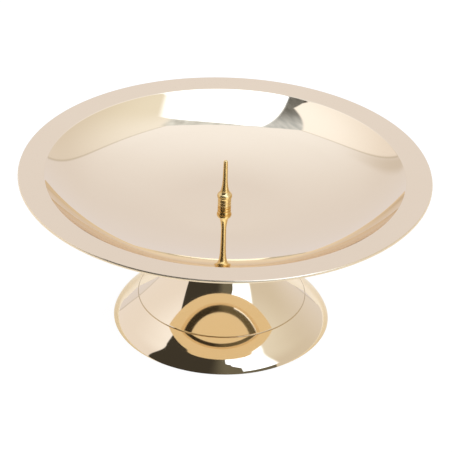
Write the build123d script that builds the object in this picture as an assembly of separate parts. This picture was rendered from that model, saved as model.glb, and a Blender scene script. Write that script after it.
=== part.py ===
from build123d import *
import os
from math import cos, pi, radians, tan

os.makedirs("parts", exist_ok=True)

# Pricket candle stand: a spun brass dish and a spun brass foot, clamped together by a turned
# pricket whose threaded shank runs down through both into a nut hidden in the foot's neck.
# Millimetres, +Z up. The origin is the middle of the resting plane under the foot.

# Sheet metal
dish_wall = 1.0
foot_wall = 0.8
edge_break = 0.15

# Foot, outside surface
foot_height = 49.5
base_radius = 43.2
crease_inset = 9.8
crease_height = 10.6
roll_inset = 2.1
roll_height = 3.4
neck_radius = 12.0
flare_sweep = 57.0
blend_width = 4.5
blend_rise = 4.15
crown_round = 2.0

# Dish, upper surface
rim_radius = 80.0
rim_width = 9.5
dish_depth = 15.7
floor_flat_radius = 18.0
floor_rise = 4.9
wall_width = 18.5
rim_round = 2.0

# Pricket, heights above the dish floor
spike_length = 19.9
tip_radius = 0.82
tip_dome = 0.8
needle_radius = 0.97
needle_height = 12.0
throat_radius = 1.41
throat_height = 7.5
shoulder_radius = 2.31
shoulder_height = 5.4
bead_radius = 2.92
bead_height = 4.05
base_ring_radius = 2.62
base_ring_height = 3.2
groove_radius = 0.28
groove_height = 0.7
groove_pitch = 1.17
groove_count = 2

# Screw joint, M4
thread_diameter = 4.0
shank_past_nut = 2.1
shank_point = 0.5
nut_across_flats = 7.0
nut_thickness = 3.2
nut_face_diameter = 6.8
nut_chamfer_angle = 30.0
flat_washer_diameter = 9.0
flat_washer_thickness = 0.8
spring_washer_diameter = 7.6
spring_washer_thickness = 0.9
spring_washer_slit = 0.5
spring_washer_slit_angle = 25.0

# Clearances round the shank, each on the radius
nut_clearance = 0.05
washer_clearance = 0.15
hole_clearance = 0.15

# Radii and heights that follow
shank_radius = thread_diameter / 2
hole_radius = shank_radius + hole_clearance
washer_hole_radius = shank_radius + washer_clearance
nut_hole_radius = shank_radius + nut_clearance
floor_height = foot_height + dish_wall
rim_height = floor_height + dish_depth
rim_edge_round = dish_wall - 2 * edge_break
flat_washer_under = foot_height - foot_wall - flat_washer_thickness
spring_washer_under = flat_washer_under - spring_washer_thickness
nut_under = spring_washer_under - nut_thickness
shank_end = nut_under - shank_past_nut


def rounded(path, corner, radius):
    """Round the corner of a flat path that lies nearest to a point."""
    return path.fillet_2d(radius, [path.vertices().sort_by_distance(corner)[0]])


def turned(section):
    """Turn a section, drawn as radius and height, about the upright axis."""
    return revolve(Plane.XZ * section, Axis.Z)


def spun_section(path, wall):
    """Section of a sheet whose show face follows the path out from the axis, the wall behind it."""
    return make_face(path.offset_2d(wall, side=Side.RIGHT, closed=True))


def make_dish():
    rim_inner = (rim_radius - rim_width, rim_height)
    rim_outer = (rim_radius, rim_height)
    floor_edge = (floor_flat_radius, floor_height)
    wall_foot = (rim_radius - rim_width - wall_width, floor_height + floor_rise)
    floor_sweep = TangentArc(floor_edge, wall_foot, tangent=(1, 0))
    path = Wire(
        [
            Line((hole_radius, floor_height), floor_edge),
            floor_sweep,
            TangentArc(wall_foot, rim_inner, tangent=floor_sweep % 1),
            Line(rim_inner, rim_outer),
        ]
    )
    path = rounded(path, rim_inner, rim_round)
    section = spun_section(path, dish_wall)
    upper_edge = section.vertices().sort_by_distance(rim_outer)[0]
    section = fillet(upper_edge, rim_edge_round)
    lower_edge = section.vertices().sort_by_distance((rim_radius, rim_height - dish_wall))[0]
    return turned(fillet(lower_edge, edge_break))


def make_foot():
    crown_corner = (neck_radius, foot_height)
    crease = (base_radius - crease_inset, crease_height)
    flare_end = (base_radius - crease_inset - blend_width, crease_height + blend_rise)
    roll_start = (base_radius - roll_inset, roll_height)
    base = (base_radius, 0)
    flare = RadiusArc(crown_corner, flare_end, -flare_sweep)
    blend = TangentArc(flare_end, crease, tangent=flare % 1)
    skirt = TangentArc(crease, roll_start, tangent=blend % 1)
    roll = TangentArc(roll_start, base, tangent=skirt % 1)
    trim_end = roll @ 1 + (roll % 1) * 2 * foot_wall
    path = Wire(
        [
            Line((hole_radius, foot_height), crown_corner),
            flare,
            blend,
            skirt,
            roll,
            Line(base, trim_end),
        ]
    )
    path = rounded(path, crown_corner, crown_round)
    below_rest = Rectangle(2 * base_radius, 4 * foot_wall, align=(Align.MIN, Align.MAX))
    return turned(spun_section(path, foot_wall) - below_rest)


def make_pricket():
    def above(radius, height):
        return (radius, floor_height + height)

    tip_edge = above(tip_radius, spike_length - tip_dome)
    needle = above(needle_radius, needle_height)
    shoulder = above(shoulder_radius, shoulder_height)
    bead_foot = above(base_ring_radius, base_ring_height)
    bead = ThreePointArc(bead_foot, above(bead_radius, bead_height), shoulder)
    taper = Line(needle, tip_edge)
    throat = Spline(
        shoulder,
        above(throat_radius, throat_height),
        needle,
        tangents=(bead % 1, taper % 0),
    )
    dome = TangentArc(above(0, spike_length), tip_edge, tangent=(1, 0))
    shank = Polyline(
        above(0, spike_length),
        (0, shank_end),
        (shank_radius - shank_point, shank_end),
        (shank_radius, shank_end + shank_point),
        (shank_radius, floor_height),
        (base_ring_radius, floor_height),
        bead_foot,
    )
    section = make_face(Curve() + [shank, bead, throat, taper, dome])
    for step in range(groove_count):
        centre = above(base_ring_radius, groove_height + step * groove_pitch)
        section -= Pos(*centre) * Circle(groove_radius)
    return turned(section)


def make_ring(outer_radius, hole, thickness, under):
    """Flat ring standing on a height."""
    section = Rectangle(outer_radius - hole, thickness, align=(Align.MIN, Align.MIN))
    return turned(Pos(hole, under) * section)


def make_flat_washer():
    outer = flat_washer_diameter / 2
    return make_ring(outer, washer_hole_radius, flat_washer_thickness, flat_washer_under)


def make_spring_washer():
    outer = spring_washer_diameter / 2
    ring = make_ring(outer, washer_hole_radius, spring_washer_thickness, spring_washer_under)
    middle = spring_washer_under + spring_washer_thickness / 2
    saw_depth = 4 * spring_washer_thickness
    from_axis = (Align.MIN, Align.CENTER, Align.CENTER)
    slit = Box(outer, spring_washer_slit, saw_depth, align=from_axis)
    return ring - Pos(0, 0, middle) * Rot(spring_washer_slit_angle, 0, 0) * slit


def make_hex_nut():
    flats = RegularPolygon(nut_across_flats / 2, 6, major_radius=False)
    corner = nut_across_flats / 2 / cos(pi / 6)
    face = nut_face_diameter / 2
    chamfer_drop = (corner - face) * tan(radians(nut_chamfer_angle))
    blank = Polyline(
        (nut_hole_radius, 0),
        (face, 0),
        (corner, chamfer_drop),
        (corner, nut_thickness - chamfer_drop),
        (face, nut_thickness),
        (nut_hole_radius, nut_thickness),
        close=True,
    )
    nut = extrude(flats, nut_thickness) & turned(make_face(blank))
    return Pos(0, 0, nut_under) * nut


pieces = {
    "dish": make_dish(),
    "foot": make_foot(),
    "pricket": make_pricket(),
    "flat_washer": make_flat_washer(),
    "spring_washer": make_spring_washer(),
    "hex_nut": make_hex_nut(),
}

for node, solid in pieces.items():
    export_step(solid, f"parts/{node}.step")
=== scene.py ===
"""Looks of the pricket candle stand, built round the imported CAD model.

Every piece is a fine mesh on the CAD part's own profile, because mirror-polished brass shows each
facet. Added here are the screw thread, the scribed line on the foot, the eased edges of the hardware,
the slight rise of the dish's rim, and smoother ends of the foot's flare and skirt. The brass mirrors a
white photo tent, drawn in the world's shader: three walls, an overhead panel, a softbox at the front
right and the dark opening that the camera looks in through.
Metres, +Z up. The camera is on the -Y side.
"""

from math import asin, atan2, cos, pi, radians, sin, tan

import bmesh
import bpy
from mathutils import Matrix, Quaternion, Vector


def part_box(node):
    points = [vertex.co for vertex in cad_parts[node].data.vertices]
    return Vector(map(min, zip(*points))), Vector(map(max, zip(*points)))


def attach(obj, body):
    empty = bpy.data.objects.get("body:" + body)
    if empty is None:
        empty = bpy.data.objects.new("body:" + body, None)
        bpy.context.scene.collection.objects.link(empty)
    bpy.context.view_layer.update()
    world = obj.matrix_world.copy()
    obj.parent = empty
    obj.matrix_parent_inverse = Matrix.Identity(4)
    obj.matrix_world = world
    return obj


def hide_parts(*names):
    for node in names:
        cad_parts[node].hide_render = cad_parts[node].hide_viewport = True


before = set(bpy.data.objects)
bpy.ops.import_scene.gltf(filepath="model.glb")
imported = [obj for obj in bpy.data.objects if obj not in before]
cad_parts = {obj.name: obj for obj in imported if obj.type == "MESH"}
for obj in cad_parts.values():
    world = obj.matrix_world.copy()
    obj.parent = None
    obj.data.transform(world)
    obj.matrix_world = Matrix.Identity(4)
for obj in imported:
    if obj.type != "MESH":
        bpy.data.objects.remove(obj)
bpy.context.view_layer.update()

MM = 0.001

# Sizes read from the frame
_, dish_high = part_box("dish")
_, foot_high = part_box("foot")
pricket_low, pricket_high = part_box("pricket")
flat_low, flat_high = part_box("flat_washer")
spring_low, spring_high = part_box("spring_washer")
nut_low, nut_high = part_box("hex_nut")
rim_radius = dish_high.x
rim_height = dish_high.z
foot_height = foot_high.z
base_radius = foot_high.x
tip_height = pricket_high.z
shank_end = pricket_low.z

# Sizes repeated from the part: the two shells
dish_sheet = 1.0 * MM
foot_sheet = 0.8 * MM
edge_break = 0.15 * MM
hole_radius = 2.15 * MM
rim_width = 9.5 * MM
wall_width = 18.5 * MM
floor_flat_radius = 18.0 * MM
floor_rise = 4.9 * MM
floor_height = foot_height + dish_sheet
crown_round = 2.0 * MM
neck_radius = 12.0 * MM
flare_sweep = 57.0 * MM
blend_width = 4.5 * MM
blend_rise = 4.15 * MM
crease_inset = 9.8 * MM
crease_height = 10.6 * MM
roll_inset = 2.1 * MM
roll_height = 3.4 * MM

# Sizes repeated from the part: the pricket, with heights above the dish's floor
tip_radius = 0.82 * MM
tip_dome = 0.8 * MM
needle_radius = 0.97 * MM
needle_height = 12.0 * MM
throat_radius = 1.41 * MM
throat_height = 7.5 * MM
shoulder_radius = 2.31 * MM
shoulder_height = 5.4 * MM
bead_radius = 2.92 * MM
bead_height = 4.05 * MM
base_ring_radius = 2.62 * MM
base_ring_height = 3.2 * MM
groove_radius = 0.28 * MM
groove_height = 0.7 * MM
groove_pitch = 1.17 * MM
groove_count = 2
shank_radius = 2.0 * MM
shank_point = 0.5 * MM

# Sizes repeated from the part: the nut and the washers
nut_hole_radius = 2.05 * MM
nut_face_radius = 3.4 * MM
nut_chamfer = radians(30)
washer_hole_radius = 2.15 * MM
slit_width = 0.5 * MM
slit_lean = radians(25)

# Detail that only the looks have
rim_rise = radians(3.2)
rim_bend_round = 0.8 * MM
rim_lip_round = 0.95 * MM
rim_lip_angle = radians(46)
flare_ease = 12.0 * MM
roll_ease = 4.8 * MM
roll_end_slope = radians(-71)
scribe_width = 0.34 * MM
scribe_depth = 0.06 * MM
thread_pitch = 0.7 * MM
thread_depth = 0.38 * MM
thread_top = foot_height - foot_sheet
nut_mouth = 0.3 * MM
nut_lip = 0.35 * MM
seat_ease = 0.12 * MM
hardware_ease = 0.12 * MM

# Fineness of the meshes
touching = 1e-7
sharp_edge = radians(32)
spun_ribs = 256
turned_ribs = 96
nut_ribs = 144
thread_rows = 12
nut_rows = 60
groove_steps = 12


# Profiles, as points of radius and height


def direction(angle):
    return Vector((cos(angle), sin(angle)))


def angle_of(arrow):
    return atan2(arrow.y, arrow.x)


def arc_circle(start, slope, end):
    """Centre, radius and turn of the arc that leaves start at a slope and reaches end.

    A turn to the right is below 0, and so is its radius.
    """
    chord = end - start
    turn = 2 * (angle_of(chord) - slope)
    radius = chord.length / (2 * sin(turn / 2))
    return start + radius * Vector((-sin(slope), cos(slope))), radius, turn


def arc_from(start, slope, end, steps):
    """Points of the arc that leaves start at a slope and reaches end, and the slope it ends with."""
    centre, radius, turn = arc_circle(start, slope, end)
    angles = [slope + turn * step / steps for step in range(steps + 1)]
    return [centre + radius * Vector((sin(a), -cos(a))) for a in angles], slope + turn


def round_about(centre, radius, first, last, steps):
    """Points on a circle between two angles."""
    angles = [first + (last - first) * step / steps for step in range(steps + 1)]
    return [Vector(centre) + radius * direction(angle) for angle in angles]


def centre_through(first, middle, last):
    """Centre of the circle through three points."""
    to_middle = middle - first
    to_last = last - first
    across = to_last.y * to_middle.length_squared - to_middle.y * to_last.length_squared
    up = to_middle.x * to_last.length_squared - to_last.x * to_middle.length_squared
    return first + Vector((across, up)) / (2 * to_middle.cross(to_last))


def eased_corner(start, along, below, circle_centre, circle_radius, ease):
    """Round that leads from a straight face, with the metal below it, to the outside of a circle."""
    offset = start + ease * below - circle_centre
    ahead = along.dot(offset)
    beyond = offset.length_squared - (circle_radius + ease) ** 2
    centre = start + ease * below - (ahead + (ahead**2 - beyond) ** 0.5) * along
    return round_about(centre, ease, angle_of(-below), angle_of(circle_centre - centre), steps=16)


def smooth_run(start, leave, end, arrive, steps):
    """Points of a smooth curve that leaves start in one direction and reaches end in another."""
    length = (end - start).length
    points = []
    for step in range(steps + 1):
        t = step / steps
        places = start * (2 * t**3 - 3 * t**2 + 1) + end * (3 * t**2 - 2 * t**3)
        slopes = leave * (t**3 - 2 * t**2 + t) + arrive * (t**3 - t**2)
        points.append(places + slopes * length)
    return points


def led_into(run, last_radius, end, slope, steps):
    """The part of a run within a radius, and a smooth curve on from it that reaches end at a slope."""
    kept = [point for point in run if point.x < last_radius]
    leave = (kept[-1] - kept[-2]).normalized()
    return kept, smooth_run(kept[-1], leave, end, direction(slope), steps)


def straight(start, end, steps):
    """Points along a line."""
    return [Vector(start).lerp(Vector(end), step / steps) for step in range(steps + 1)]


def joined(*runs):
    """One run of points, with the points where two runs meet kept once."""
    points = []
    for run in runs:
        for point in run:
            if not points or (point - points[-1]).length > touching:
                points.append(point)
    return points


def sheet_behind(points, sheet):
    """The hidden face of a sheet: each point moved square to the run, to its right."""
    moved = []
    for index, point in enumerate(points):
        before = points[max(index - 1, 0)]
        after = points[min(index + 1, len(points) - 1)]
        along = (after - before).normalized()
        moved.append(point + sheet * Vector((along.y, -along.x)))
    return moved


def eased_box(inner, outer, low, high, ease):
    """Outline of a ring's section with eased corners."""
    corners = [(outer, high, 0), (inner, high, pi / 2), (inner, low, pi), (outer, low, 3 * pi / 2)]
    outline = []
    for radius, height, first in corners:
        inward = Vector((-1 if radius == outer else 1, -1 if height == high else 1)) * ease
        outline += round_about(Vector((radius, height)) + inward, ease, first, first + pi / 2, steps=4)
    return outline


def dish_outline():
    rim_inner = Vector((rim_radius - rim_width, rim_height))
    floor_edge = Vector((floor_flat_radius, floor_height))
    wall_foot = Vector((rim_inner.x - wall_width, floor_height + floor_rise))
    floor_sweep, floor_slope = arc_from(floor_edge, 0, wall_foot, steps=48)
    wall_sweep, _ = arc_from(wall_foot, floor_slope, rim_inner, steps=64)
    wall_centre, wall_circle, _ = arc_circle(wall_foot, floor_slope, rim_inner)
    # The rim's top face rises a little from its inner bend to its edge
    rim_end = Vector((rim_radius - rim_lip_round * (1 - cos(rim_lip_angle)), rim_height))
    inwards = -direction(rim_rise)
    below_rim = Vector((sin(rim_rise), -cos(rim_rise)))
    rim_bend = eased_corner(rim_end, inwards, below_rim, wall_centre, wall_circle, rim_bend_round)[::-1]
    wall_sweep = [point for point in wall_sweep if point.x < rim_bend[0].x]
    top = joined(
        straight((hole_radius, floor_height), floor_edge, steps=12),
        floor_sweep,
        wall_sweep,
        rim_bend,
        straight(rim_bend[-1], rim_end, steps=8),
    )
    under = sheet_behind(top, dish_sheet)
    lip_centre = (rim_radius - rim_lip_round, rim_height - rim_lip_round * sin(rim_lip_angle))
    upper_edge = round_about(lip_centre, rim_lip_round, rim_lip_angle, 0, steps=12)
    under_end = Vector((rim_radius - edge_break, rim_height - dish_sheet))
    lower_edge = round_about(under_end + Vector((0, edge_break)), edge_break, 0, -pi / 2, steps=6)
    return joined(top, upper_edge, lower_edge, reversed(under))


def scribed(flare, skirt):
    """Flare and skirt with a fine groove scribed where they meet."""
    crease = skirt[0]
    above = [point for point in flare if (point - crease).length > scribe_width / 2]
    past = [point for point in skirt if (point - crease).length > scribe_width / 2]
    along = (past[0] - above[-1]).normalized()
    inwards = Vector((along.y, -along.x))
    groove = []
    for step in range(groove_steps + 1):
        share = step / groove_steps
        surface = crease + (share - 0.5) * scribe_width * along
        groove.append(surface + scribe_depth * sin(pi * share) ** 2 * inwards)
    return above + groove + past


def foot_outline():
    crown_start = Vector((hole_radius, foot_height))
    crown_corner = Vector((neck_radius, foot_height))
    crease = Vector((base_radius - crease_inset, crease_height))
    flare_end = crease + Vector((-blend_width, blend_rise))
    roll_start = Vector((base_radius - roll_inset, roll_height))
    base = Vector((base_radius, 0))
    fall = flare_end - crown_corner
    flare_slope = angle_of(fall) - asin(fall.length / 2 / flare_sweep)
    flare, blend_slope = arc_from(crown_corner, flare_slope, flare_end, steps=80)
    flare_centre, _, _ = arc_circle(crown_corner, flare_slope, flare_end)
    _, _, blend_turn = arc_circle(flare_end, blend_slope, crease)
    crease_slope = blend_slope + blend_turn
    outwards = Vector((1, 0))
    down = Vector((0, -1))
    crown_bend = eased_corner(crown_start, outwards, down, flare_centre, flare_sweep, crown_round)
    crown = joined(straight(crown_start, crown_bend[0], steps=10), crown_bend)
    flare = [point for point in flare if point.y < crown_bend[-1].y]
    # The flare's end and the skirt's foot change their curvature gradually, in place of the part's arcs
    flare, into_crease = led_into(flare, crease.x - flare_ease, crease, crease_slope, steps=36)
    flare = joined(flare, into_crease)
    skirt, _ = arc_from(crease, crease_slope, roll_start, steps=40)
    skirt, roll = led_into(skirt, base.x - roll_ease, base, roll_end_slope, steps=28)
    past_base = straight(base, base + 2 * foot_sheet * direction(roll_end_slope), steps=4)
    inside = sheet_behind(joined(crown, flare, skirt, roll, past_base), foot_sheet)
    above_rest = [point for point in inside if point.y > 0]
    last_above = above_rest[-1]
    first_below = inside[len(above_rest)]
    rest_edge = last_above.lerp(first_below, last_above.y / (last_above.y - first_below.y))
    show_face = joined(crown, scribed(flare, skirt), roll)
    return show_face + [rest_edge] + above_rest[::-1]


def pricket_outline():
    def above(radius, height):
        return Vector((radius, floor_height + height))

    tip = Vector((0, tip_height))
    tip_edge = Vector((tip_radius, tip_height - tip_dome))
    needle = above(needle_radius, needle_height)
    throat = above(throat_radius, throat_height)
    shoulder = above(shoulder_radius, shoulder_height)
    bead_middle = above(bead_radius, bead_height)
    bead_foot = above(base_ring_radius, base_ring_height)
    dome, _ = arc_from(tip, 0, tip_edge, steps=10)
    taper = straight(tip_edge, needle, steps=6)
    bead_centre = centre_through(shoulder, bead_middle, bead_foot)
    bead_first = angle_of(shoulder - bead_centre)
    bead_last = angle_of(bead_foot - bead_centre)
    bead_circle = (shoulder - bead_centre).length
    bead = round_about(bead_centre, bead_circle, bead_first, bead_last, steps=24)
    into_needle = (needle - tip_edge).normalized()
    along_throat = (shoulder - needle).normalized()
    into_bead = Vector((sin(bead_first), -cos(bead_first)))
    neck = joined(
        smooth_run(needle, into_needle, throat, along_throat, steps=16),
        smooth_run(throat, along_throat, shoulder, into_bead, steps=16),
    )
    ring = [bead_foot]
    for step in reversed(range(groove_count)):
        groove_centre = above(base_ring_radius, groove_height + step * groove_pitch)
        ring += round_about(groove_centre, groove_radius, pi / 2, 3 * pi / 2, steps=10)
    seat_centre = above(base_ring_radius - seat_ease, seat_ease)
    ring += round_about(seat_centre, seat_ease, 0, -pi / 2, steps=4)
    shank_top = Vector((shank_radius, floor_height))
    point_start = Vector((shank_radius, shank_end + shank_point))
    point_end = Vector((shank_radius - shank_point, shank_end))
    rows = int((shank_top.y - point_start.y) / thread_pitch * thread_rows)
    shank = straight(shank_top, point_start, steps=rows)
    point = straight(point_start, point_end, steps=8)
    return joined(dome, taper, neck, bead, ring, shank, point, [Vector((0, shank_end))])


def nut_outline():
    """Section of the nut before nut_shape turns it into a threaded hexagon."""
    low = nut_low.z
    high = nut_high.z
    corner = nut_high.x
    bore = straight((nut_hole_radius, low), (nut_hole_radius, high), steps=nut_rows)
    face_radii = (nut_hole_radius + nut_lip, nut_face_radius, corner)
    top = [Vector((radius, high)) for radius in face_radii]
    side = straight((corner, high), (corner, low), steps=3)[1:-1]
    under = [Vector((radius, low)) for radius in reversed(face_radii)]
    return bore + top + side + under


# Meshes


def lathe(name, outline, around, reshape=None):
    """Mesh of an outline turned about the upright axis; reshape moves a point at its angle."""
    mesh = bmesh.new()
    ribs = []
    for step in range(around):
        angle = 2 * pi * step / around
        rib = []
        for radius, height in outline:
            if reshape:
                radius, height = reshape(radius, height, angle)
            rib.append(mesh.verts.new((radius * cos(angle), radius * sin(angle), height)))
        ribs.append(rib)
    on_axis = outline[0].x == 0
    quads_along = len(outline) - 1 if on_axis else len(outline)
    skin(mesh, ribs + ribs[:1], quads_along)
    return finished(name, mesh)


def split_ring(name, outline, around):
    """Ring turned from a section, with a leaning slit at +X."""
    mesh = bmesh.new()
    middle = (spring_low.z + spring_high.z) / 2
    half_slit = slit_width / 2 / cos(slit_lean)
    ribs = []
    for step in range(around + 1):
        rib = []
        for radius, height in outline:
            lean = -(height - middle) * tan(slit_lean)
            first = asin((lean + half_slit) / radius)
            last = 2 * pi + asin((lean - half_slit) / radius)
            angle = first + (last - first) * step / around
            rib.append(mesh.verts.new((radius * cos(angle), radius * sin(angle), height)))
        ribs.append(rib)
    skin(mesh, ribs, len(outline))
    mesh.faces.new(ribs[0])
    mesh.faces.new(ribs[-1])
    return finished(name, mesh)


def skin(mesh, ribs, quads_along):
    """Four-sided faces between each rib and the next."""
    for rib, other in zip(ribs, ribs[1:]):
        for row in range(quads_along):
            below = (row + 1) % len(rib)
            mesh.faces.new((rib[row], rib[below], other[below], other[row]))


def finished(name, mesh):
    """Object from a mesh under way, smooth except at real edges."""
    bmesh.ops.remove_doubles(mesh, verts=mesh.verts, dist=touching)
    bmesh.ops.recalc_face_normals(mesh, faces=mesh.faces)
    data = bpy.data.meshes.new(name)
    mesh.to_mesh(data)
    mesh.free()
    data.shade_smooth()
    data.set_sharp_from_angle(angle=sharp_edge)
    piece = bpy.data.objects.new(name, data)
    bpy.context.scene.collection.objects.link(piece)
    return piece


def thread_form(height, angle):
    """Share of the thread's depth, 0 at a crest and 1 at a root, for a right-hand thread."""
    flank = 2.6
    crest = 0.15
    phase = (height / thread_pitch - angle / (2 * pi)) % 1
    return min(1, max(0, flank * abs(phase - 0.5) - crest))


def threaded_shank(radius, height, angle):
    """Thread on the shank below the foot's crown; the rest of the pricket stays."""
    if height > thread_top or radius < shank_radius - shank_point or radius > shank_radius + touching:
        return radius, height
    run_out = min(1, (thread_top - height) / thread_pitch)
    root = shank_radius - thread_depth * run_out * thread_form(height, angle)
    return min(radius, root), height


def hexagon_radius(angle):
    """Distance from the axis to the nut's flat at an angle; a corner lies on the X axis."""
    flat = (nut_high.y - nut_low.y) / 2
    return flat / cos((angle % (pi / 3)) - pi / 6)


def nut_shape(radius, height, angle):
    """Hexagon with its corners turned off at both faces, and a threaded bore."""
    middle = (nut_low.z + nut_high.z) / 2
    half = (nut_high.z - nut_low.z) / 2
    if radius < nut_hole_radius + touching:
        from_end = half - abs(height - middle)
        widening = max(0, nut_mouth - from_end)
        return nut_hole_radius + max(widening, thread_depth * thread_form(height, angle)), height
    reach = min(radius, hexagon_radius(angle))
    turned_off = max(0, reach - nut_face_radius) * tan(nut_chamfer)
    limit = half - turned_off
    return reach, middle + max(-limit, min(limit, height - middle))


# Shader nodes


class Graph:
    """Short calls that add nodes to a tree and link them; most return the new node's output."""

    def __init__(self, tree):
        self.tree = tree
        tree.nodes.clear()

    def add(self, kind, settings=None, **inputs):
        node = self.tree.nodes.new(kind)
        for name, value in (settings or {}).items():
            setattr(node, name, value)
        for name, value in inputs.items():
            self.feed(node.inputs[name.replace("_", " ")], value)
        return node

    def feed(self, socket, value):
        if isinstance(value, bpy.types.NodeSocket):
            self.tree.links.new(value, socket)
        else:
            socket.default_value = value

    def math(self, operation, first, second=0.0):
        node = self.add("ShaderNodeMath", {"operation": operation})
        self.feed(node.inputs[0], first)
        self.feed(node.inputs[1], second)
        return node.outputs[0]

    def plus(self, first, second):
        return self.math("ADD", first, second)

    def minus(self, first, second):
        return self.math("SUBTRACT", first, second)

    def times(self, first, second):
        return self.math("MULTIPLY", first, second)

    def step(self, value, low, high):
        """0 at low and 1 at high, eased between; low may be above high."""
        rising = low < high
        node = self.add("ShaderNodeMapRange", {"interpolation_type": "SMOOTHSTEP"}, Value=value)
        self.feed(node.inputs["From Min"], min(low, high))
        self.feed(node.inputs["From Max"], max(low, high))
        self.feed(node.inputs["To Min"], 0.0 if rising else 1.0)
        self.feed(node.inputs["To Max"], 1.0 if rising else 0.0)
        return node.outputs["Result"]

    def band(self, value, low, high, soft):
        """1 between two limits, easing to 0 outside them."""
        past_low = self.step(value, low - soft, low + soft)
        before_high = self.step(value, high + soft, high - soft)
        return self.times(past_low, before_high)

    def between(self, value, low, high):
        """Value from 0 to 1 spread between two numbers."""
        node = self.add("ShaderNodeMapRange", Value=value)
        self.feed(node.inputs["To Min"], low)
        self.feed(node.inputs["To Max"], high)
        return node.outputs["Result"]

    def mix(self, share, first, second, blend="MIX"):
        """Mix of two colours; the node's sockets for colour share their names, so they go by number."""
        node = self.add("ShaderNodeMix", {"data_type": "RGBA", "blend_type": blend})
        self.feed(node.inputs[0], share)
        self.feed(node.inputs[6], first)
        self.feed(node.inputs[7], second)
        return node.outputs[2]

    def noise(self, vector, scale, detail):
        return self.add("ShaderNodeTexNoise", Vector=vector, Scale=scale, Detail=detail).outputs["Fac"]

    def split(self, vector):
        return self.add("ShaderNodeSeparateXYZ", Vector=vector).outputs

    def combine(self, x, y, z):
        return self.add("ShaderNodeCombineXYZ", X=x, Y=y, Z=z).outputs[0]


def grey(level):
    return (level, level, level, 1)


# Metals

ring_wander = 0.1
ring_share = 0.45
haze_scale = 60
haze_share = 0.55
haze_tint = 0.6
scratch_scale = 2600
scratch_stretch = 0.12
scratch_start = 0.70
scratch_full = 0.76
scratch_roughness = 0.05
cut_edge_start = rim_radius - 0.28 * MM
cut_edge_full = rim_radius - 0.2 * MM
cut_edge_roughness = 0.3
ring_relief = 0.25


def polished_metal(name, colour, darker, roughness, line_pitch, line_height, scribe_shade=None):
    """Metal turned or spun about the upright axis: fine rings, polishing haze and hairline scratches.

    Roughness is a pair of limits, for the least and the most wear. A colour given for the spun sheet is
    painted
    shade: a darker brown in the foot's scribed line, in place of the shade and dark reflections in its
    groove. The sheet's cut edge, at the dish's rim, is rougher than its faces.
    """
    material = bpy.data.materials.new(name)
    material.use_nodes = True
    graph = Graph(material.node_tree)
    position = graph.add("ShaderNodeTexCoord").outputs["Object"]
    x, y, z = graph.split(position)
    radius = graph.math("SQRT", graph.plus(graph.times(x, x), graph.times(y, y)))
    angle = graph.math("ARCTAN2", y, x)
    along = graph.plus(radius, z)
    ring_place = graph.combine(along, graph.times(angle, ring_wander * line_pitch), 0)
    rings = graph.noise(ring_place, scale=1 / line_pitch, detail=3)
    haze = graph.noise(position, haze_scale, detail=3)
    scratch_place = graph.combine(graph.times(x, scratch_stretch), y, z)
    scratch_noise = graph.noise(scratch_place, scratch_scale, detail=2)
    scratches = graph.step(scratch_noise, scratch_start, scratch_full)
    wear = graph.plus(graph.times(rings, ring_share), graph.times(haze, haze_share))
    shine = graph.plus(graph.between(wear, *roughness), graph.times(scratches, scratch_roughness))
    tint = graph.mix(graph.times(haze, haze_tint), (*colour, 1), (*darker, 1))
    if scribe_shade:
        # Painted shade: the foot's scribed line gets a darker brown, in place of the shade and dark
        # reflections its groove shows
        crease_radius = base_radius - crease_inset
        half = scribe_width / 2
        in_line = graph.band(radius, crease_radius - half, crease_radius + half, soft=0.3 * half)
        on_foot = graph.step(z, foot_height, crease_height + scribe_width)
        tint = graph.mix(graph.times(in_line, on_foot), tint, (*scribe_shade, 1))
        cut_edge = graph.step(radius, cut_edge_start, cut_edge_full)
        shine = graph.plus(shine, graph.times(cut_edge, cut_edge_roughness))
    bump = graph.add("ShaderNodeBump", Strength=ring_relief, Distance=line_height, Height=rings)
    shader = graph.add(
        "ShaderNodeBsdfPrincipled",
        Base_Color=tint,
        Metallic=1.0,
        Roughness=shine,
        Normal=bump.outputs["Normal"],
    )
    output = graph.add("ShaderNodeOutputMaterial")
    graph.feed(output.inputs["Surface"], shader.outputs["BSDF"])
    return material


metals = {
    "spun_brass": polished_metal(
        "polished_spun_brass",
        colour=(0.845, 0.685, 0.455),
        darker=(0.83, 0.665, 0.43),
        roughness=(0.02, 0.055),
        line_pitch=0.9 * MM,
        line_height=0.0004 * MM,
        # painted shade for the foot's scribed line, in place of the shade and dark reflections in its
        # groove
        scribe_shade=(0.56, 0.42, 0.24),
    ),
    "turned_brass": polished_metal(
        "bright_turned_brass",
        colour=(0.79, 0.56, 0.24),
        darker=(0.71, 0.48, 0.18),
        roughness=(0.22, 0.32),
        line_pitch=0.5 * MM,
        line_height=0.001 * MM,
    ),
    "zinc_steel": polished_metal(
        "zinc_plated_steel",
        colour=(0.66, 0.67, 0.68),
        darker=(0.58, 0.60, 0.63),
        roughness=(0.24, 0.40),
        line_pitch=0.3 * MM,
        line_height=0.01 * MM,
    ),
}


# The object's pieces


def dress(piece, node, body, slot):
    """Give a piece its metal and its body, in the place of a CAD node."""
    piece.data.materials.append(metals[slot])
    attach(piece, body)
    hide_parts(node)


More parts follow.
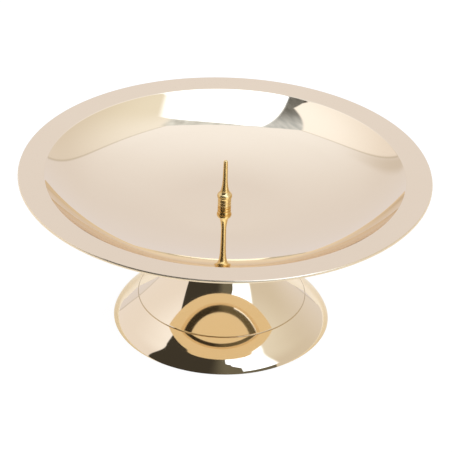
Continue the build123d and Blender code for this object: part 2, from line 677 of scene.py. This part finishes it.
dress(lathe("dish_spun", dish_outline(), spun_ribs), "dish", "dish", "spun_brass")
dress(lathe("foot_spun", foot_outline(), spun_ribs), "foot", "foot", "spun_brass")
pricket = lathe("pricket_turned", pricket_outline(), turned_ribs, threaded_shank)
dress(pricket, "pricket", "pricket", "turned_brass")
flat_section = eased_box(washer_hole_radius, flat_high.x, flat_low.z, flat_high.z, hardware_ease)
flat_washer = lathe("flat_washer_ring", flat_section, turned_ribs)
dress(flat_washer, "flat_washer", "washers", "zinc_steel")
spring_section = eased_box(washer_hole_radius, spring_high.y, spring_low.z, spring_high.z, hardware_ease)
spring_washer = split_ring("spring_washer_ring", spring_section, turned_ribs)
dress(spring_washer, "spring_washer", "washers", "zinc_steel")
nut = lathe("hex_nut_threaded", nut_outline(), nut_ribs, nut_shape)
dress(nut, "hex_nut", "nut", "zinc_steel")


# Floor

floor_reach = 3.0
floor_shown = 0.93
floor_mirrored = 0.58
floor_warmth = (1.0, 0.93, 0.76, 1)
floor_grey = grey(0.13)
floor_grey_mirrored = grey(0.46)


def make_floor():
    """Pale floor that the camera sees as white and the brass a little warmer, with the object's shadow."""
    mesh = bmesh.new()
    bmesh.ops.create_circle(mesh, cap_ends=True, radius=floor_reach, segments=96)
    floor = finished("floor", mesh)
    material = bpy.data.materials.new("floor_white")
    material.use_nodes = True
    graph = Graph(material.node_tree)
    rays = graph.add("ShaderNodeLightPath").outputs
    shown = graph.math("MAXIMUM", rays["Is Camera Ray"], rays["Is Transmission Ray"])
    mirrored = rays["Is Glossy Ray"]
    strength = graph.plus(graph.times(shown, floor_shown), graph.times(mirrored, floor_mirrored))
    glow_colour = graph.mix(mirrored, grey(1), floor_warmth)
    glow = graph.add("ShaderNodeEmission", Color=glow_colour, Strength=strength)
    matt_colour = graph.mix(mirrored, floor_grey, floor_grey_mirrored)
    matt = graph.add("ShaderNodeBsdfDiffuse", Color=matt_colour)
    both = graph.add("ShaderNodeAddShader")
    graph.feed(both.inputs[0], glow.outputs[0])
    graph.feed(both.inputs[1], matt.outputs[0])
    output = graph.add("ShaderNodeOutputMaterial")
    graph.feed(output.inputs["Surface"], both.outputs[0])
    floor.data.materials.append(material)


make_floor()


# Colours of the photo tent, as strengths of light

lamp = (1.9, 2.35, 3.4, 1)
back_wall = (0.88, 0.91, 1.11, 1)
left_wall = (0.98, 1.0, 1.18, 1)
right_wall_front = (0.77, 0.76, 0.78, 1)
right_wall_back = (0.86, 0.87, 0.98, 1)
gain_near_top = (1.28, 1.37, 1.46, 1)
corner_shade = (0.72, 0.71, 0.78, 1)
seam_shade = (0.55, 0.53, 0.52, 1)
opening_dark = (0.055, 0.052, 0.048, 1)
opening_by_softbox = (0.17, 0.17, 0.15, 1)
strip_dark = (0.45, 0.50, 0.62, 1)
strip_bright = (1.15, 1.35, 1.75, 1)
slot_front_dark = (0.10, 0.11, 0.13, 1)
slot_front_bright = (0.30, 0.34, 0.42, 1)
slot_back_dark = (0.42, 0.52, 0.72, 1)
slot_back_bright = (0.95, 1.10, 1.45, 1)
shade_share = 0.8
seam_share = 0.6

# Limits of the tent's parts, in degrees: azimuth is 0 at the camera's side and grows to the right

left_wall_azimuth = (-137.5, -50)
right_wall_azimuth = (40, 146)
right_wall_change = (95, 145)
near_top_elevation = (22, 66)
shade_azimuth = (-146.5, -138)
shade_top = (50, 18)
shade_bottom = (10, 16)
left_seam_azimuth = (-138.1, -137.1)
right_seam_azimuth = (145.4, 146.4)
opening_azimuth = (-74, 58)
by_softbox_azimuth = (-12, 8)
softbox_left = 14
softbox_right = (64, 57)
softbox_bottom = (14, 16)
softbox_slant = 10
softbox_slant_elevation = (44, 31)
softbox_top_step = -6
softbox_top_elevation = (45, 49)
overhead_elevation = (57.5, 58.5)

# Limits of the ceiling's parts, as places on a ceiling one unit up

lowest_height = 0.05
edge_blur = 0.012
strip_back = (0.15, 0.377)
strip_across = (-0.2, 0.27)
panel_right = 0.34
panel_right_lean = -0.28
panel_right_blur = (-0.09, 0.01)
panel_back = 0.335
panel_back_lean = -0.43
panel_back_most = 0.362
slot_back_end = (0.377, 0.353)
slot_change = (-0.05, 0.32)


def tent_walls(graph, azimuth, elevation):
    """The three walls, brighter towards the overhead panel, with seams at the two back corners."""
    on_left = graph.band(azimuth, *left_wall_azimuth, soft=0.5)
    on_right = graph.band(azimuth, *right_wall_azimuth, soft=0.5)
    to_back = graph.step(azimuth, *right_wall_change)
    right_wall = graph.mix(to_back, right_wall_front, right_wall_back)
    wall = graph.mix(on_right, graph.mix(on_left, back_wall, left_wall), right_wall)
    gain = graph.mix(graph.step(elevation, *near_top_elevation), grey(1), gain_near_top)
    wall = graph.mix(1.0, wall, gain, "MULTIPLY")
    low_down = graph.times(graph.step(elevation, *shade_top), graph.step(elevation, *shade_bottom))
    beside_seam = graph.times(graph.band(azimuth, *shade_azimuth, soft=3), low_down)
    wall = graph.mix(graph.times(beside_seam, shade_share), wall, corner_shade)
    left_seam = graph.band(azimuth, *left_seam_azimuth, soft=0.6)
    right_seam = graph.band(azimuth, *right_seam_azimuth, soft=0.6)
    seams = graph.math("MAXIMUM", left_seam, right_seam)
    return graph.mix(graph.times(seams, seam_share), wall, seam_shade)


def with_opening(graph, light, azimuth):
    """The dark opening at the front, a little lighter beside the softbox."""
    opening = graph.band(azimuth, *opening_azimuth, soft=0.8)
    by_softbox = graph.step(azimuth, *by_softbox_azimuth)
    return graph.mix(opening, light, graph.mix(by_softbox, opening_dark, opening_by_softbox))


def with_softbox(graph, light, azimuth, elevation):
    """The softbox at the front right, whose left edge slants, so that it is wider at the top."""
    slant = graph.times(graph.step(elevation, *softbox_slant_elevation), softbox_slant)
    top_step = graph.times(graph.step(elevation, *softbox_top_elevation), softbox_top_step)
    left_edge = graph.plus(graph.plus(slant, top_step), softbox_left)
    past_left = graph.step(graph.minus(azimuth, left_edge), -0.6, 0.6)
    above_bottom = graph.step(elevation, *softbox_bottom)
    before_right = graph.step(azimuth, *softbox_right)
    softbox = graph.times(graph.times(past_left, above_bottom), before_right)
    return graph.mix(softbox, light, lamp)


def with_ceiling(graph, light, elevation, right, back):
    """The overhead panel, the grey strip along its back edge and the folded gap to its left.

    Right and back are places on a ceiling one unit up.
    """
    along_back = graph.band(back, *strip_back, soft=0.008)
    strip = graph.times(along_back, graph.band(right, *strip_across, soft=0.03))
    streak_place = graph.combine(graph.times(right, 5), graph.times(back, 2), 0)
    streaks = graph.noise(streak_place, scale=4, detail=1)
    light = graph.mix(strip, light, graph.mix(streaks, strip_dark, strip_bright))

    overhead = graph.step(elevation, *overhead_elevation)
    right_limit = graph.plus(graph.times(back, panel_right_lean), panel_right)
    back_limit = graph.plus(graph.times(right, panel_back_lean), panel_back)
    back_limit = graph.math("MINIMUM", back_limit, panel_back_most)
    inner_edge = curved_edge(graph, back, at_zero=-0.322, lean=0.523, bend=-0.06)
    outer_front = curved_edge(graph, back, at_zero=-0.434, lean=0.03, bend=0.6)
    outer_back = curved_edge(graph, back, at_zero=-0.348, lean=1.3, bend=0)
    outer_edge = graph.math("MINIMUM", outer_front, outer_back)
    before_right = graph.step(graph.minus(right_limit, right), *panel_right_blur)
    before_back = graph.step(graph.minus(back_limit, back), -edge_blur, edge_blur)
    past_inner = graph.step(graph.minus(right, inner_edge), -edge_blur, edge_blur)
    past_outer = graph.step(graph.minus(right, outer_edge), -edge_blur, edge_blur)
    panel = graph.times(graph.times(before_right, before_back), graph.times(overhead, past_inner))
    light = graph.mix(panel, light, lamp)

    # The gap is darker towards the front
    slot = graph.times(past_outer, graph.minus(1.0, past_inner))
    slot = graph.times(slot, graph.times(graph.step(back, *slot_back_end), overhead))
    fold_place = graph.combine(graph.times(right, 14), graph.times(back, 3), 0)
    folds = graph.noise(fold_place, scale=2, detail=1)
    slot_back = graph.mix(folds, slot_back_dark, slot_back_bright)
    slot_front = graph.mix(folds, slot_front_dark, slot_front_bright)
    slot_colour = graph.mix(graph.step(back, *slot_change), slot_front, slot_back)
    return graph.mix(slot, light, slot_colour)


def curved_edge(graph, back, at_zero, lean, bend):
    """Place to the right of an edge that runs to the back as a shallow curve."""
    bent = graph.plus(graph.times(back, bend), lean)
    return graph.plus(graph.times(back, bent), at_zero)


def light_world():
    """World that shows the tent to the object and plain white to the camera."""
    world = bpy.data.worlds.new("photo_tent")
    bpy.context.scene.world = world
    world.use_nodes = True
    graph = Graph(world.node_tree)
    x, y, z = graph.split(graph.add("ShaderNodeTexCoord").outputs["Generated"])
    azimuth = graph.times(graph.math("ARCTAN2", x, graph.times(y, -1)), 180 / pi)
    elevation = graph.times(graph.math("ARCSINE", z), 180 / pi)
    height = graph.math("MAXIMUM", z, lowest_height)
    right = graph.math("DIVIDE", x, height)
    back = graph.math("DIVIDE", y, height)
    light = tent_walls(graph, azimuth, elevation)
    light = with_opening(graph, light, azimuth)
    light = with_softbox(graph, light, azimuth, elevation)
    light = with_ceiling(graph, light, elevation, right, back)
    camera_ray = graph.add("ShaderNodeLightPath").outputs["Is Camera Ray"]
    shown = graph.mix(camera_ray, light, grey(1))
    background = graph.add("ShaderNodeBackground", Color=shown, Strength=1.0)
    output = graph.add("ShaderNodeOutputWorld")
    graph.feed(output.inputs["Surface"], background.outputs[0])


light_world()


# Camera: the middle of the rim's plane falls on this pixel of the 452 by 452 photograph

image_size = 452
rim_pixel = Vector((225.51, 169.73))
focal_pixels = 1911.6
camera_distance = 739.3 * MM
camera_elevation = 0.51069
camera_roll = 0.03161


def make_camera():
    data = bpy.data.cameras.new("camera")
    data.sensor_width = 36.0
    data.lens = data.sensor_width * focal_pixels / image_size
    camera = bpy.data.objects.new("camera", data)
    bpy.context.scene.collection.objects.link(camera)
    rim_centre = Vector((0, 0, rim_height))
    away = Vector((0, -cos(camera_elevation), sin(camera_elevation)))
    camera.location = rim_centre + away * camera_distance
    level = (-away).to_track_quat("-Z", "Y")
    roll = Quaternion((0, 0, 1), camera_roll)
    off_centre = (rim_pixel - Vector((image_size, image_size)) / 2) / focal_pixels
    to_rim = Vector((off_centre.x, -off_centre.y, -1))
    aside = Vector((0, 0, -1)).rotation_difference(to_rim)
    camera.rotation_mode = "QUATERNION"
    camera.rotation_quaternion = level @ roll @ aside.inverted()
    bpy.context.scene.camera = camera


make_camera()
bpy.context.scene.view_settings.view_transform = "Standard"

# The steep front of the bowl mirrors itself many times over, and goes black with fewer bounces
bpy.context.scene.cycles.glossy_bounces = 12
